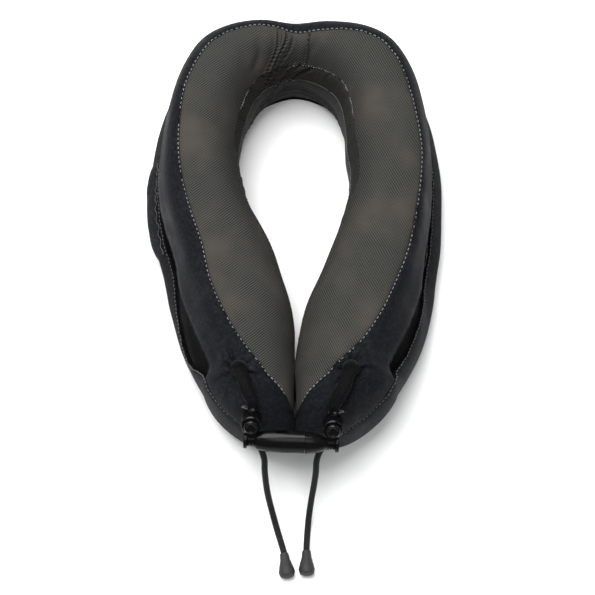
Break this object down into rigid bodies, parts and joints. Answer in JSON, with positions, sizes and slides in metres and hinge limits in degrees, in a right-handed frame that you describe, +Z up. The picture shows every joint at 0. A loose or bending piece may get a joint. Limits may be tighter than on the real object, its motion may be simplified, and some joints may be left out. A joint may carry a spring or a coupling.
{
  "type": "travel neck support",
  "caption": "Teardrop ring of memory foam in a zipped fabric cover, closed at the front by a barrel clasp with two cord locks and elastic cords.",
  "frame": {"origin": "middle of the box under the ring, on the surface it stands on", "axes": "+Z up, +Y towards the back of the ring, +X towards the half that carries the plug"},
  "size_m": [0.2213, 0.4198, 0.1077],
  "materials": {
    "foam": "open-cell memory foam",
    "twill": "fine grey twill, matt",
    "navy": "fine dark navy jersey, faint sheen",
    "black_mesh": "open spacer mesh",
    "base_fabric": "plain black woven",
    "sleeve_fabric": "folded jersey sleeve",
    "keeper_thread": "bar-tacked loop",
    "elastic_cord": "braided elastic cord",
    "black_plastic": "satin moulded acetal",
    "button_plastic": "satin moulded acetal",
    "soft_plastic": "soft moulded",
    "spring_steel": "bright wire",
    "zip_metal": "dark lacquer"
  },
  "bodies": {
    "left_half": {"left_foam_core": "foam", "left_top_panel": "twill", "left_inner_collar": "twill", "left_inner_mesh": "black_mesh", "left_side_roll": "navy", "left_vent_gusset": "black_mesh", "left_lower_band": "navy", "left_base_panel": "base_fabric", "left_cord_sleeve": "sleeve_fabric", "left_cord_eyelet": "black_plastic", "left_keeper": "keeper_thread", "left_cord": "elastic_cord", "left_cord_end": "soft_plastic", "left_lock_spring": "spring_steel", "side_pocket": "navy", "clasp_socket": "black_plastic", "zip_tape": "base_fabric", "zip_coil": "soft_plastic"},
    "right_half": {"right_foam_core": "foam", "right_top_panel": "twill", "right_inner_collar": "twill", "right_inner_mesh": "black_mesh", "right_side_roll": "navy", "right_vent_gusset": "black_mesh", "right_lower_band": "navy", "right_base_panel": "base_fabric", "right_cord_sleeve": "sleeve_fabric", "right_cord_eyelet": "black_plastic", "right_keeper": "keeper_thread", "right_cord": "elastic_cord", "right_cord_end": "soft_plastic", "right_lock_spring": "spring_steel", "clasp_plug": "black_plastic"},
    "upper_latch": {"upper_latch_arm": "button_plastic"},
    "lower_latch": {"lower_latch_arm": "button_plastic"},
    "left_button": {"left_lock_button": "button_plastic"},
    "right_button": {"right_lock_button": "button_plastic"},
    "slider": {"zip_slider": "zip_metal"},
    "pull": {"zip_pull": "zip_metal"}
  },
  "joints": [
    {"name": "legs_open", "type": "hinge", "parent": "left_half", "child": "right_half", "pos_m": [0, 0.1724, 0.05], "axis": [0, 0, 1], "range_deg": [0, 40], "stiffness_Nm_per_rad": 1.5},
    {"name": "upper_latch_press", "type": "hinge", "parent": "right_half", "child": "upper_latch", "pos_m": [0.00674, -0.16292, 0.07518], "axis": [0, -0.7071, 0.7071], "range_deg": [0, 4], "stiffness_Nm_per_rad": 0.3, "springref_deg": -2.86},
    {"name": "lower_latch_press", "type": "hinge", "parent": "right_half", "child": "lower_latch", "pos_m": [0.00643, -0.16716, 0.07094], "axis": [0, 0.7071, -0.7071], "range_deg": [0, 4], "stiffness_Nm_per_rad": 0.3, "springref_deg": -2.86},
    {"name": "left_lock_press", "type": "slide", "parent": "left_half", "child": "left_button", "axis": [0, 0.7071, -0.7071], "range_m": [0, 0.003], "stiffness_N_per_m": 800, "springref_m": -0.004, "deforming": ["left_lock_spring"]},
    {"name": "right_lock_press", "type": "slide", "parent": "right_half", "child": "right_button", "axis": [0, 0.7071, -0.7071], "range_m": [0, 0.003], "stiffness_N_per_m": 800, "springref_m": -0.004, "deforming": ["right_lock_spring"]},
    {"name": "zip_slide", "type": "slide", "parent": "left_half", "child": "slider", "axis": [0, 1, 0], "range_m": [0, 0.08]},
    {"name": "zip_pull_flip", "type": "hinge", "parent": "slider", "child": "pull", "pos_m": [-0.064, -0.0344, 0.00068], "axis": [-1, 0, 0], "range_deg": [0, 100]}
  ]
}
